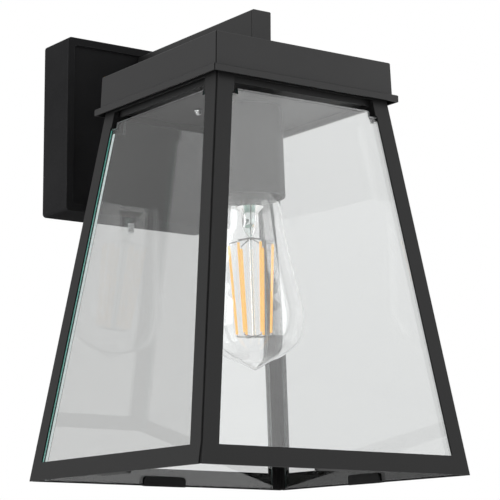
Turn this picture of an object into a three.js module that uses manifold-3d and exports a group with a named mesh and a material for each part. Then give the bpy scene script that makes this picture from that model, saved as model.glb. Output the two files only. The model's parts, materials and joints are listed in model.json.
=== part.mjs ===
// An outdoor wall lantern: a wall plate with an arm, a folded cap hung under the arm, a glazed tapering cage
// open at the bottom, and a lampholder with a clear filament bulb.
// Millimetres. +Z is up, +Y goes into the wall, +X is to the right of someone facing the lantern.
// The origin is the middle of the wall plate, on the wall's surface.
import * as THREE from "three";
import { mergeVertices } from "three/addons/utils/BufferGeometryUtils.js";
import Module from "manifold-3d";

// ---- driving dimensions -------------------------------------------------------------------------------
const GAP = 0.3; // between pieces that touch
const TIGHT = 0.2; // round a screw in its thread
const SHEET = 1.0; // steel sheet of the cage frames
const CAP_SHEET = 1.2;

const plate = { width: 126, height: 119, depth: 32, wall: 1.8, border: 5, sunk: 2, corner: 2.5 };
const gasket = { inset: 0.4, width: 2.8, thickness: 3 };
const bracket = { width: 40, height: 105, thickness: 2, tongue: 22, hookUp: 3 };
const slot = { length: 14, width: 5, above: 34, below: -36 }; // for the screws into the wall
const fixing = { radius: 2.25, below: 6.6, fromWall: 13, socket: 1.3, socketDepth: 2.2, grip: 5 };
const block = { width: 30, depth: 16, height: 14, pitch: 9, z: -20, screwRadius: 2, screwLength: 3.4 };
const earth = { x: 14, z: 14, headRadius: 3.6, headHeight: 2.2, shank: 1.9, length: 2.2 };
const wire = { radius: 0.9, pitch: 3.2 };

const reach = 148.5; // wall to the middle of the cage
const arm = { width: 14, top: 54, overhang: 19.5, wall: 1.5, cap: 1.2, edge: 0.8 };
const rootScrew = { radius: 2, head: 3.8, headHeight: 2.4, length: 14, spread: 22 };
const rootBlock = { length: 12 };
const capScrew = { radius: 2, head: 3.8, headHeight: 2.2, length: 6, front: -7, rear: 46 };
const wireDrop = { fromCentre: 20, radius: 4.2, grommetBore: 2.9 };

const cap = { halfTop: 66.2, top: 19.2, height: 20.5, flare: 0.67 };
const seam = { width: 0.7, depth: 1.1 }; // the open corners of the folded cap
const lip = { overhang: 2.83, sink: 1.2, bottom: -6.3 };
const ceiling = { half: 60.5, underside: -5.2, hem: 4.1, holderHole: 6.4 };
const stud = { x: 20.4, behind: 19.8, radius: 1.4, nutRadius: 2.7, nutHeight: 1.9 };

const cage = { halfTop: 64.9, halfBottom: 98.05, bottom: -240.2, above: 11.8 };
const frame = { member: 11.4, relief: 1.5, reliefHeight: 12, corner: 0.15 };
const clip = { depth: 8.5, drop: 10.6, notch: 2.9, notchFrom: 3.5 }; // the notch clears the ceiling's hem
const hook = { width: 32, height: 6.6, corner: 2.5 };
const glass = { thickness: 3, overlap: 1.7, rest: 0.3, notchWidth: 4.4 };
const glassTopDrop = { front: 7.3, right: 2.2, back: 2.2, left: 7.3 }; // below the top of each opening

const holder = { lean: 1.9, heading: -35, radius: 23, wall: 1.0, length: 58.2, clearTop: 1.5, lipRoll: 1.4 };
const insulator = { radius: 19.5, top: 6.5, length: 44, roof: 17, topBore: 5.5 };
const shell = { radius: 14.3, wall: 0.6, top: 25, length: 24 };
const contact = { width: 7, half: 2.4, rise: 0.6, thickness: 0.5 };
const nipple = { radius: 5, bore: 3.8, above: 9, nutRadius: 8.6, nutHeight: 4 };

const bulb = {
  contactDepth: 24.8, // the tip contact, below the ceiling, along the lampholder's axis
  length: 143.7,
  radius: 32,
  glassWall: 0.8,
  baseRadius: 13.1,
  baseWall: 0.35,
  baseLength: 24,
  tipInsulator: 4,
};
const stem = { flare: 9, tube: 4.8, pinchEnd: 58, rod: 1.3 };
const filament = { count: 6, radius: 0.85, top: 63.2, length: 59.2, upperR: 13.9, lowerR: 10.5, turn: -51 };
const lead = { radius: 0.35 };
const driver = { width: 17, depth: 10, thickness: 1.5, below: 19 }; // the board inside the metal base

const ROUND = 28;
const SMALL_ROUND = 12;
const DEG = Math.PI / 180;

// ---- solids -------------------------------------------------------------------------------------------
const wasm = await Module();
wasm.setup();

// A closed geometry as a manifold-3d solid, with its shared vertices merged.
function solidOf(geometry) {
  const bare = geometry.index ? geometry.toNonIndexed() : geometry.clone();
  bare.deleteAttribute("normal");
  bare.deleteAttribute("uv");
  const merged = mergeVertices(bare, 1e-4);
  const vertProperties = new Float32Array(merged.attributes.position.array);
  const triVerts = new Uint32Array(merged.index.array);
  return new wasm.Manifold(new wasm.Mesh({ numProp: 3, vertProperties, triVerts }));
}

function geometryOf(solid) {
  const mesh = solid.getMesh();
  const geometry = new THREE.BufferGeometry();
  geometry.setAttribute("position", new THREE.BufferAttribute(new Float32Array(mesh.vertProperties), 3));
  geometry.setIndex(new THREE.BufferAttribute(new Uint32Array(mesh.triVerts), 1));
  const loose = geometry.toNonIndexed();
  loose.computeVertexNormals();
  return loose;
}

const join = (...geometries) => geometryOf(geometries.map(solidOf).reduce((a, b) => a.add(b)));

function cut(geometry, ...tools) {
  return geometryOf(tools.map(solidOf).reduce((a, b) => a.subtract(b), solidOf(geometry)));
}

// ---- shapes -------------------------------------------------------------------------------------------
function box(x0, x1, y0, y1, z0, z1) {
  const middle = [(x0 + x1) / 2, (y0 + y1) / 2, (z0 + z1) / 2];
  return new THREE.BoxGeometry(x1 - x0, y1 - y0, z1 - z0).translate(...middle);
}

// A profile of [radius, height] points turned about Z. It starts and ends on the axis, or closes on itself.
function turned(profile, segments = ROUND, start = 0) {
  const closed = [...profile, profile[0]];
  let area = 0;
  for (let i = 1; i < closed.length; i++) {
    area += closed[i - 1][0] * closed[i][1] - closed[i][0] * closed[i - 1][1];
  }
  const onAxis = profile[0][0] === 0 && profile[profile.length - 1][0] === 0;
  const points = onAxis ? [...profile] : closed;
  if (area < 0) points.reverse();
  const vectors = points.map(([r, z]) => new THREE.Vector2(r, z));
  return new THREE.LatheGeometry(vectors, segments, start).rotateX(Math.PI / 2);
}

function rod(radius, z0, z1, segments = ROUND) {
  return turned([[0, z0], [radius, z0], [radius, z1], [0, z1]], segments);
}

function tube(outer, inner, z0, z1, segments = ROUND) {
  return turned([[inner, z0], [outer, z0], [outer, z1], [inner, z1]], segments);
}

// A square version of turned: the profile gives half widths instead of radii.
function squareTurned(profile) {
  return turned(profile.map(([half, z]) => [half * Math.SQRT2, z]), 4, Math.PI / 4);
}

function roundedRectangle(width, height, radius) {
  const shape = new THREE.Shape();
  const x = width / 2;
  const y = height / 2;
  shape.moveTo(-x + radius, -y);
  shape.lineTo(x - radius, -y);
  shape.absarc(x - radius, -y + radius, radius, -Math.PI / 2, 0);
  shape.absarc(x - radius, y - radius, radius, 0, Math.PI / 2);
  shape.absarc(-x + radius, y - radius, radius, Math.PI / 2, Math.PI);
  shape.absarc(-x + radius, -y + radius, radius, Math.PI, Math.PI * 1.5);
  return shape;
}

function polygon(points) {
  return new THREE.Shape(points.map(([x, y]) => new THREE.Vector2(x, y)));
}

function extruded(shape, depth, curveSegments = 4) {
  return new THREE.ExtrudeGeometry(shape, { depth, bevelEnabled: false, curveSegments });
}

// A shape drawn in X and Z, extruded along Y from y0 to y1.
function upright(shape, y0, y1) {
  return extruded(shape, y1 - y0).rotateX(Math.PI / 2).translate(0, y1, 0);
}

// A profile drawn in Y and Z, extruded along X from x0 to x1.
function sideways(points, x0, x1) {
  const drawn = extruded(polygon(points), x1 - x0);
  const turn = new THREE.Matrix4().makeBasis(
    new THREE.Vector3(0, 1, 0),
    new THREE.Vector3(0, 0, 1),
    new THREE.Vector3(1, 0, 0),
  );
  return drawn.applyMatrix4(turn).translate(x0, 0, 0);
}

const alongY = (geometry) => geometry.rotateX(-Math.PI / 2); // a Z axis piece turned to run along Y

// A round tube along a smooth curve through the points.
function cable(points, radius, steps, sides = 8) {
  const curve = new THREE.CatmullRomCurve3(points.map((p) => new THREE.Vector3(...p)), false, "centripetal");
  const section = polygon(
    Array.from({ length: sides }, (_, i) => {
      const a = (2 * Math.PI * i) / sides;
      return [radius * Math.cos(a), radius * Math.sin(a)];
    }),
  );
  return new THREE.ExtrudeGeometry(section, { steps, extrudePath: curve, bevelEnabled: false });
}

// ---- materials ----------------------------------------------------------------------------------------
const paint = (color, roughness, metalness, extra = {}) =>
  new THREE.MeshStandardMaterial({ color, roughness, metalness, ...extra });
const MATERIAL = {
  powderBlack: () => paint(0x303032, 0.55, 0.3),
  steel: () => paint(0xc8cacc, 0.3, 1),
  zinc: () => paint(0xa9adb0, 0.45, 1),
  brass: () => paint(0xc9a45a, 0.35, 1),
  nickel: () => paint(0xb9b6ae, 0.28, 1),
  foam: () => paint(0x1c1c1d, 0.95, 0),
  rubber: () => paint(0x222223, 0.85, 0),
  whitePlastic: () => paint(0xe8e6df, 0.45, 0),
  blackPlastic: () => paint(0x1a1a1c, 0.5, 0),
  wireBrown: () => paint(0x6b3d22, 0.5, 0),
  wireBlue: () => paint(0x2b5fa8, 0.5, 0),
  wireGreen: () => paint(0x8fae2c, 0.5, 0),
  clearGlass: () => paint(0xe6f2ee, 0.02, 0, { transparent: true, opacity: 0.25 }),
  phosphor: () => paint(0xf4b04a, 0.6, 0),
};

const lantern = new THREE.Group();
function add(name, geometry, material, parent = lantern) {
  const mesh = new THREE.Mesh(geometry, material());
  mesh.name = name;
  parent.add(mesh);
  return mesh;
}

// ---- places worked out from the driving dimensions ----------------------------------------------------
const plateBack = -plate.depth + plate.sunk + plate.wall; // inner face of the wall plate's front panel
const plateFloor = -plate.height / 2 + plate.wall; // inner face of its bottom wall
const capBottom = cap.top - cap.height;
const armBottom = cap.top + GAP;
const armMiddle = (armBottom + arm.top) / 2;
const armRear = -plate.depth + plate.sunk - GAP; // the arm stands on the sunk panel
const armFront = -reach - arm.overhang;
const ceilingTop = ceiling.underside + CAP_SHEET;
const bracketHalf = bracket.height / 2;
const earthHead = -bracket.thickness - GAP - earth.headHeight;

// ---- wall plate: a box open at the back, its front panel sunk inside a plain border --------------------
function wallPlate() {
  const cavity = { width: plate.width - 2 * plate.wall, height: plate.height - 2 * plate.wall };
  const panel = { width: plate.width - 2 * plate.border, height: plate.height - 2 * plate.border };
  const holeAt = (z, radius) =>
    alongY(rod(radius, plateBack - 4, plateBack + 1, SMALL_ROUND)).translate(0, 0, z);
  const keyHole = rod(fixing.radius + GAP, -plate.height / 2 - 1, plateFloor + 1, SMALL_ROUND);
  const front = -plate.depth;
  return cut(
    upright(roundedRectangle(plate.width, plate.height, plate.corner), front, 0),
    upright(roundedRectangle(cavity.width, cavity.height, plate.corner - 1), plateBack, 1),
    upright(roundedRectangle(panel.width, panel.height, plate.corner), front - 1, front + plate.sunk),
    holeAt(armMiddle, wireDrop.radius),
    holeAt(armMiddle + rootScrew.spread / 2, rootScrew.radius + GAP),
    holeAt(armMiddle - rootScrew.spread / 2, rootScrew.radius + GAP),
    keyHole.translate(0, -fixing.fromWall, 0),
  );
}

function wallGasket() {
  const inset = 2 * (plate.wall + gasket.inset);
  const outer = { width: plate.width - inset, height: plate.height - inset };
  const inner = { width: outer.width - 2 * gasket.width, height: outer.height - 2 * gasket.width };
  return cut(
    upright(roundedRectangle(outer.width, outer.height, 2), -gasket.thickness, 0),
    upright(roundedRectangle(inner.width, inner.height, 1), -gasket.thickness - 1, 1),
  );
}

// The strap fixed to the wall: a lower tongue for the fixing screw, an upper one turned up as a hook.
function mountingBracket() {
  const t = bracket.thickness;
  const h = bracketHalf;
  const hookTop = h + bracket.hookUp;
  const profile = [
    [0, -h], [0, h], [-bracket.tongue + t, h], [-bracket.tongue + t, hookTop], [-bracket.tongue, hookTop],
    [-bracket.tongue, h - t], [-t, h - t], [-t, -h + t], [-bracket.tongue, -h + t], [-bracket.tongue, -h],
  ];
  const slotAt = (z) =>
    upright(roundedRectangle(slot.length, slot.width, slot.width / 2 - 0.01), -t - 1, 1).translate(0, 0, z);
  return cut(
    sideways(profile, -bracket.width / 2, bracket.width / 2),
    slotAt(slot.above),
    slotAt(slot.below),
    rod(fixing.radius + TIGHT, -h - 1, -h + t + 1, SMALL_ROUND).translate(0, -fixing.fromWall, 0),
    alongY(rod(earth.shank + TIGHT, -t - 1, 1, SMALL_ROUND)).translate(earth.x, 0, earth.z),
  );
}

// A long set screw, driven up from below, that locks the wall plate on the bracket.
function plateFixingScrew() {
  const low = -plate.height / 2 - fixing.below;
  const chamfer = 0.6;
  const body = turned([
    [0, low], [fixing.radius - chamfer, low], [fixing.radius, low + chamfer],
    [fixing.radius, -bracketHalf + fixing.grip], [0, -bracketHalf + fixing.grip],
  ], SMALL_ROUND);
  const socket = rod(fixing.socket, low - 1, low + fixing.socketDepth, 6);
  return cut(body, socket).translate(0, -fixing.fromWall, 0);
}

// Along Y: a pan head at y = 0 and a shank running the given way.
function panScrew(headRadius, headHeight, radius, length) {
  return turned([
    [0, 0], [headRadius - 0.8, 0], [headRadius, 0.8], [headRadius, headHeight],
    [radius, headHeight], [radius, headHeight + length], [0, headHeight + length],
  ], SMALL_ROUND);
}

function wallSide() {
  add("wall_plate", wallPlate(), MATERIAL.powderBlack);
  add("wall_gasket", wallGasket(), MATERIAL.foam);
  add("mounting_bracket", mountingBracket(), MATERIAL.zinc);
  add("plate_fixing_screw", plateFixingScrew(), MATERIAL.steel);
  const earthScrew = alongY(panScrew(earth.headRadius, earth.headHeight, earth.shank, earth.length));
  add("earth_screw", earthScrew.translate(earth.x, earthHead, earth.z), MATERIAL.brass);
}

// ---- terminal block -----------------------------------------------------------------------------------
const blockFront = -bracket.thickness - GAP - block.depth;
const blockTop = block.z + block.height / 2;
const poles = [-block.pitch, 0, block.pitch];
const poleY = blockFront + block.depth / 2;

function terminalBlock() {
  const body = box(-block.width / 2, block.width / 2, blockFront, blockFront + block.depth,
    block.z - block.height / 2, blockTop);
  const well = block.screwRadius + GAP;
  const hole = wire.radius + GAP;
  const screwWell = (x) => alongY(rod(well, -1, 5, SMALL_ROUND)).translate(x, blockFront, block.z);
  const wireHole = (x) => rod(hole, blockTop - 4, blockTop + 1, SMALL_ROUND).translate(x, poleY, 0);
  return cut(body, ...poles.flatMap((x) => [screwWell(x), wireHole(x)]));
}

function terminals() {
  add("terminal_block", terminalBlock(), MATERIAL.whitePlastic);
  poles.forEach((x, i) => {
    const shank = rod(block.screwRadius, 0, block.screwLength, SMALL_ROUND);
    const screw = cut(shank, box(-3, 3, -0.3, 0.3, -1, 0.8));
    add(`terminal_screw_${i + 1}`, alongY(screw).translate(x, blockFront + 1.2, block.z), MATERIAL.brass);
  });
}

// ---- arm ----------------------------------------------------------------------------------------------
const dropY = -reach + wireDrop.fromCentre;
const capScrewY = [-reach + capScrew.front, -reach + capScrew.rear];

function armTube() {
  const w = arm.width / 2;
  const i = w - arm.wall;
  const section = roundedRectangle(arm.width, arm.top - armBottom, arm.edge);
  const outer = upright(section, armFront + arm.cap + GAP, armRear).translate(0, 0, armMiddle);
  const bore = box(-i, i, armFront - 1, armRear + 1, armBottom + arm.wall, arm.top - arm.wall);
  const through = (y, radius) =>
    rod(radius, armBottom - 1, armBottom + arm.wall + 1, SMALL_ROUND).translate(0, y, 0);
  const screwHoles = capScrewY.map((y) => through(y, capScrew.radius + TIGHT));
  return cut(outer, bore, through(dropY, wireDrop.radius), ...screwHoles);
}

// The plate that closes the arm's front end, with a plug that holds it in the tube.
function armEndCap() {
  const i = arm.width / 2 - arm.wall - GAP;
  const outline = roundedRectangle(arm.width, arm.top - armBottom, arm.edge);
  const face = upright(outline, armFront, armFront + arm.cap).translate(0, 0, armMiddle);
  const plugLow = armBottom + arm.wall + GAP;
  const plugHigh = arm.top - arm.wall - GAP;
  const plug = box(-i, i, armFront + 0.5, armFront + 7, plugLow, plugHigh);
  const w = arm.cap;
  const hollow = box(-i + w, i - w, armFront + 1.5 * w, armFront + 8, plugLow + w, plugHigh - w);
  return cut(join(face, plug), hollow);
}

function armRootBlock() {
  const i = arm.width / 2 - arm.wall - GAP;
  const front = armRear - rootBlock.length;
  const body = box(-i, i, front, armRear, armBottom + arm.wall + GAP, arm.top - arm.wall - GAP);
  const bore = (z, radius) => alongY(rod(radius, front - 1, armRear + 1, SMALL_ROUND)).translate(0, 0, z);
  return cut(
    body,
    bore(armMiddle, wireDrop.radius),
    bore(armMiddle + rootScrew.spread / 2, rootScrew.radius + TIGHT),
    bore(armMiddle - rootScrew.spread / 2, rootScrew.radius + TIGHT),
  );
}

// A rubber ring in a hole of a sheet: a groove round it takes the sheet's edge.
function grommet(holeRadius, bore, span) {
  const flange = 1.2;
  const out = holeRadius + flange;
  const waist = holeRadius - GAP;
  return turned([
    [bore, -flange], [out, -flange], [out, -GAP], [waist, -GAP],
    [waist, span + GAP], [out, span + GAP], [out, span + flange], [bore, span + flange],
  ], 20);
}

function armPieces() {
  add("arm_tube", armTube(), MATERIAL.powderBlack);
  add("arm_end_cap", armEndCap(), MATERIAL.powderBlack);
  add("arm_root_block", armRootBlock(), MATERIAL.zinc);
  [["upper", 1], ["lower", -1]].forEach(([name, side]) => {
    const screw = panScrew(rootScrew.head, rootScrew.headHeight, rootScrew.radius, rootScrew.length);
    const place = plateBack + GAP + rootScrew.headHeight;
    const mesh = add(`arm_root_screw_${name}`, screw, MATERIAL.steel);
    mesh.rotation.x = Math.PI / 2;
    mesh.position.set(0, place, armMiddle + (side * rootScrew.spread) / 2);
  });
  capScrewY.forEach((y, i) => {
    const screw = panScrew(capScrew.head, capScrew.headHeight, capScrew.radius, capScrew.length);
    const place = cap.top - CAP_SHEET - GAP - capScrew.headHeight;
    add(`arm_cap_screw_${["front", "rear"][i]}`, screw.translate(0, y, place), MATERIAL.steel);
  });
  const span = armBottom + arm.wall - (cap.top - CAP_SHEET);
  const drop = grommet(wireDrop.radius, wireDrop.grommetBore, span).translate(0, dropY, cap.top - CAP_SHEET);
  add("cap_grommet", drop, MATERIAL.rubber);
}

// ---- cap: a shallow folded box with a flange and drip edge round its mouth ----------------------------
function capShell() {
  const t = CAP_SHEET;
  const bottomHalf = cap.halfTop + cap.flare;
  const lipHalf = bottomHalf + lip.overhang;
  const lipTop = capBottom - lip.sink;
  const soft = 0.5;
  const shellSolid = squareTurned([
    [0, cap.top], [cap.halfTop - soft, cap.top], [cap.halfTop, cap.top - soft],
    [bottomHalf, capBottom], [lipHalf - soft, lipTop + soft], [lipHalf, lipTop],
    [lipHalf, lip.bottom], [lipHalf - t, lip.bottom], [lipHalf - t, lipTop - t + 0.4],
    [bottomHalf - t, capBottom - t], [cap.halfTop - t, cap.top - t], [0, cap.top - t],
  ]);
  // The folds meet at open corners: a narrow seam runs down each, over the walls and over the lip.
  const seams = [0, 1, 2, 3].flatMap((k) => {
    const drawn = [[cap.halfTop, cap.top, cap.flare / cap.height], [lipHalf, lipTop, 0]];
    return drawn.map(([half, top, slope]) => {
      const slit = box(-seam.depth, 2, -seam.width / 2, seam.width / 2, top - cap.height, top + 2);
      slit.translate(0, 0, -top).rotateZ(Math.PI / 4);
      slit.applyMatrix4(new THREE.Matrix4().makeShear(0, 0, 0, 0, -slope, -slope));
      return slit.translate(half, half, top).rotateZ((k * Math.PI) / 2);
    });
  });
  const holes = [
    rod(wireDrop.radius, cap.top - t - 1, cap.top + 1, SMALL_ROUND).translate(0, wireDrop.fromCentre, 0),
    ...[capScrew.front, capScrew.rear].map((y) =>
      rod(capScrew.radius + TIGHT, cap.top - t - 1, cap.top + 1, SMALL_ROUND).translate(0, y, 0)),
  ];
  return cut(shellSolid, ...seams, ...holes).translate(0, -reach, 0);
}

// The tray that closes the cap from below, its hem turned down.
function ceilingPlate() {
  const t = CAP_SHEET;
  const low = ceiling.underside - ceiling.hem;
  const tray = squareTurned([
    [0, ceilingTop], [ceiling.half, ceilingTop], [ceiling.half, low], [ceiling.half - t, low],
    [ceiling.half - t, ceiling.underside], [0, ceiling.underside],
  ]);
  const hole = (x, y, radius, sides) =>
    rod(radius, ceiling.underside - 1, ceilingTop + 1, sides).translate(x, y, 0);
  const studHole = stud.radius + GAP;
  return cut(
    tray,
    hole(0, 0, ceiling.holderHole, ROUND),
    hole(-stud.x, stud.behind, studHole, SMALL_ROUND),
    hole(stud.x, stud.behind, studHole, SMALL_ROUND),
  ).translate(0, -reach, 0);
}

// A hexagonal dome nut, its thread hole open at the top.
function domeNut() {
  const dome = stud.nutRadius * 0.86;
  const hex = rod(stud.nutRadius, -stud.nutHeight, 0, 6);
  const arc = [0, 1, 2, 3, 4, 5].map((i) => {
    const a = (i / 5) * 90 * DEG;
    return [dome * Math.cos(a), -stud.nutHeight - dome * Math.sin(a)];
  });
  arc[5][0] = 0;
  const crown = turned([[0, -stud.nutHeight + 0.5], [dome, -stud.nutHeight + 0.5], ...arc], 20);
  return cut(join(hex, crown), rod(stud.radius + TIGHT, -stud.nutHeight, 1, SMALL_ROUND));
}

function capPieces() {
  add("cap", capShell(), MATERIAL.powderBlack);
  add("ceiling_plate", ceilingPlate(), MATERIAL.powderBlack);
  const y = -reach + stud.behind;
  [["left", -stud.x], ["right", stud.x]].forEach(([name, x]) => {
    const rodLow = ceiling.underside - stud.nutHeight + 0.4;
    const stem = rod(stud.radius, rodLow, cap.top - CAP_SHEET - GAP, SMALL_ROUND);
    add(`cap_stud_${name}`, stem.translate(x, y, 0), MATERIAL.steel);
    add(`dome_nut_${name}`, domeNut().translate(x, y, ceiling.underside - GAP), MATERIAL.steel);
  });
}

// ---- cage: four sheet frames and four panes, each drawn flat and leaned to the taper -------------------
const drop = lip.bottom - cage.bottom;
const lean = Math.atan2(cage.halfBottom - cage.halfTop, drop);
const slopeBottom = -drop / Math.cos(lean); // along the sheet, down from the lip's lower edge
const slopeTop = cage.above / Math.cos(lean);
const halfAt = (v) => cage.halfTop - v * Math.sin(lean);
const windowTop = 0;
const windowBottom = slopeBottom + frame.member;
const windowHalf = (v) => halfAt(v) - SHEET - frame.corner - frame.member + 0.8;

// The trapezoid between two heights whose half width follows the taper.
function panel(top, bottom, half) {
  return [[-half(bottom), bottom], [half(bottom), bottom], [half(top), top], [-half(top), top]];
}

function frameSheet() {
  const edge = (v) => halfAt(v) - SHEET - frame.corner;
  const bendTop = slopeBottom + frame.reliefHeight;
  const outline = new THREE.Shape();
  outline.moveTo(-edge(slopeBottom), slopeBottom);
  outline.lineTo(edge(slopeBottom) - frame.relief, slopeBottom);
  outline.quadraticCurveTo(edge(bendTop + 1) + 0.1, bendTop - 5, edge(bendTop), bendTop);
  outline.lineTo(edge(slopeTop), slopeTop);
  outline.lineTo(-edge(slopeTop), slopeTop);
  const opening = polygon(panel(windowTop, windowBottom, windowHalf)).getPoints().reverse();
  outline.holes.push(new THREE.Path(opening));
  const sheet = extruded(outline, SHEET, 5).translate(0, 0, -SHEET);
  const clips = [-1, 1].map((side) => {
    const a = windowHalf(windowTop);
    const b = windowHalf(windowTop - clip.drop);
    const root = 0.4;
    const points = [
      [side * (a + root), windowTop + root], [side * (a - SHEET), windowTop + root],
      [side * (b - SHEET), windowTop - clip.drop], [side * (b + root), windowTop - clip.drop],
    ];
    const tab = extruded(polygon(side > 0 ? points : points.reverse()), clip.depth);
    const notchBottom = windowTop - clip.notch;
    const notch = box(-a - 9, a + 9, notchBottom, windowTop + 9, -clip.depth - 1, -clip.notchFrom);
    return cut(tab.translate(0, 0, -clip.depth), notch);
  });
  const inward = 2 * SHEET + glass.thickness + 2 * GAP;
  const shelf = box(-hook.width / 2, hook.width / 2, slopeBottom, slopeBottom + SHEET, -inward, -SHEET / 2);
  const tongue = extruded(roundedRectangle(hook.width, 2 * hook.height, hook.corner), SHEET);
  const half = cut(tongue, box(-hook.width, hook.width, -2 * hook.height, 0, -1, SHEET + 1));
  return join(sheet, ...clips, shelf, half.translate(0, slopeBottom, -inward));
}

function glassPane(topDrop) {
  const bottom = slopeBottom + SHEET + glass.rest;
  const top = windowTop - topDrop;
  const half = (v) => windowHalf(v) + glass.overlap;
  const pane = extruded(polygon(panel(top, bottom, half)), glass.thickness)
    .translate(0, 0, -SHEET - GAP - glass.thickness);
  const notchBottom = windowTop - clip.drop - GAP;
  const notches = [-1, 1].map((side) => {
    const inner = windowHalf(top) - glass.notchWidth;
    const x = [side * inner, side * (inner + 20)].sort((a, b) => a - b);
    return box(x[0], x[1], notchBottom, top + 1, -20, 1);
  });
  return cut(pane, ...notches);
}

function cagePieces() {
  ["front", "right", "back", "left"].forEach((name, k) => {
    const side = new THREE.Group();
    side.position.set(0, -reach, lip.bottom);
    side.rotation.z = (k * Math.PI) / 2;
    const leaned = new THREE.Group();
    leaned.position.y = -cage.halfTop;
    leaned.rotation.x = Math.PI / 2 - lean;
    side.add(leaned);
    lantern.add(side);
    add(`frame_${name}`, frameSheet(), MATERIAL.powderBlack, leaned);
    add(`glass_${name}`, glassPane(glassTopDrop[name]), MATERIAL.clearGlass, leaned);
  });
}

// ---- lampholder, drawn hanging from z = 0 at the ceiling's underside ----------------------------------
// It hangs a little off plumb, as a lampholder on one nipple does.
const lamp = new THREE.Group();
lamp.position.set(0, -reach, ceiling.underside);
lamp.quaternion.setFromAxisAngle(
  new THREE.Vector3(Math.sin(holder.heading * DEG), -Math.cos(holder.heading * DEG), 0),
  holder.lean * DEG,
);
lantern.add(lamp);

const sleeveTop = -holder.clearTop;
const sleeveBottom = sleeveTop - holder.length;

function lampSleeve() {
  const r = holder.radius;
  const t = holder.wall;
  const roll = holder.lipRoll;
  return turned([
    [nipple.radius + GAP, sleeveTop], [r - 1, sleeveTop], [r, sleeveTop - 1], [r, sleeveBottom + 0.5],
    [r - 0.5, sleeveBottom], [r - t - roll, sleeveBottom], [r - t - roll, sleeveBottom + t],
    [r - t, sleeveBottom + t + 0.6], [r - t, sleeveTop - t], [nipple.radius + GAP, sleeveTop - t],
  ]);
}

function holderBody() {
  const top = -insulator.top;
  const bottom = top - insulator.length;
  const bore = shell.radius + GAP;
  const shoulder = 4;
  return turned([
    [insulator.topBore, top], [insulator.radius - shoulder, top], [insulator.radius, top - shoulder],
    [insulator.radius, bottom], [bore, bottom], [bore, -insulator.roof - 6], [3.2, -insulator.roof - 6],
    [3.2, -insulator.roof + 2], [insulator.topBore, -insulator.roof + 4],
  ]);
}

function holderPieces() {
  add("lamp_sleeve", lampSleeve(), MATERIAL.powderBlack, lamp);
  add("holder_body", holderBody(), MATERIAL.blackPlastic, lamp);
  const ring = tube(shell.radius, shell.radius - shell.wall, -shell.top - shell.length, -shell.top);
  add("screw_shell", ring, MATERIAL.brass, lamp);
  // The nipple passes through the ceiling and the sleeve's top into the holder's top bore.
  add("threaded_nipple", tube(nipple.radius, nipple.bore, -13, nipple.above, 24), MATERIAL.steel, lamp);
  const nutLow = CAP_SHEET + 1.2;
  const hexagon = rod(nipple.nutRadius, nutLow, nutLow + nipple.nutHeight, 6);
  const nut = cut(hexagon, rod(nipple.radius + TIGHT, nutLow - 1, nutLow + nipple.nutHeight + 1, 24));
  add("nipple_nut", nut, MATERIAL.zinc, lamp);
  const low = -bulb.contactDepth + GAP;
  const ends = low + contact.rise;
  const spring = sideways([
    [-contact.half, ends], [0, low], [contact.half, ends], [contact.half, ends + contact.thickness],
    [0, low + contact.thickness], [-contact.half, ends + contact.thickness],
  ].reverse(), -contact.width / 2, contact.width / 2);
  add("holder_contact", spring, MATERIAL.brass, lamp);
}

// ---- bulb, on the same axis: z = 0 at its tip contact, running down -----------------------------------
const bulbGroup = new THREE.Group();
bulbGroup.position.z = -bulb.contactDepth;
lamp.add(bulbGroup);

const neckStart = bulb.tipInsulator + bulb.baseLength; // where the glass leaves the metal base

// The outside of the glass, as [radius, distance below the tip contact]: a throat inside the metal base, a
// long cone that swells into a round belly, and a small drawn-out nipple at the end.
function bulbOutline() {
  const throat = bulb.baseRadius - bulb.baseWall - 0.6;
  const r = bulb.radius;
  const end = bulb.length;
  const shape = new THREE.CatmullRomCurve3([
    [throat + 1.6, neckStart + 1.8], [0.59 * r, end - 105.3], [0.695 * r, end - 85], [0.803 * r, end - 66.3],
    [0.92 * r, end - 49], [r, end - 33.8], [0.953 * r, end - 22.3], [0.844 * r, end - 15.3],
    [0.62 * r, end - 9.8], [0.48 * r, end - 7.3], [0.3 * r, end - 5.1], [0.17 * r, end - 2.8], [0, end],
  ].map(([radius, depth]) => new THREE.Vector3(radius, depth, 0)), false, "centripetal");
  const body = shape.getPoints(19).map((p) => [p.x, p.y]);
  body[body.length - 1][0] = 0;
  return [[throat, neckStart - 5], [throat, neckStart + 0.6], ...body];
}

function bulbGlass() {
  const outer = bulbOutline();
  const inner = outer.map(([r, d], i) => {
    const before = outer[Math.max(i - 1, 0)];
    const after = outer[Math.min(i + 1, outer.length - 1)];
    const slope = Math.hypot(after[0] - before[0], after[1] - before[1]);
    const nr = (after[1] - before[1]) / slope;
    const nd = -(after[0] - before[0]) / slope;
    return [Math.max(r - nr * bulb.glassWall, 0), d - nd * bulb.glassWall];
  });
  inner[inner.length - 1] = [0, bulb.length - 1.6];
  const profile = [...outer].reverse().concat(inner).map(([r, d]) => [r, -d]);
  return turned(profile, 28);
}

// A glass flare sealed into the neck, pinched flat round the lead wires, with a thin rod down the middle.
function bulbStem() {
  const low = filament.top + filament.length + 1.6;
  return turned([
    [0, -(neckStart + 12)], [stem.flare, -(neckStart + 12)], [stem.flare, -(neckStart + 13.2)],
    [stem.tube, -(neckStart + 17)], [stem.tube, -stem.pinchEnd + 6], [stem.tube - 1.2, -stem.pinchEnd + 2],
    [stem.rod + 1, -stem.pinchEnd], [stem.rod, -stem.pinchEnd - 1.5], [stem.rod, -low + 1], [0, -low],
  ], 20);
}

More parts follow.
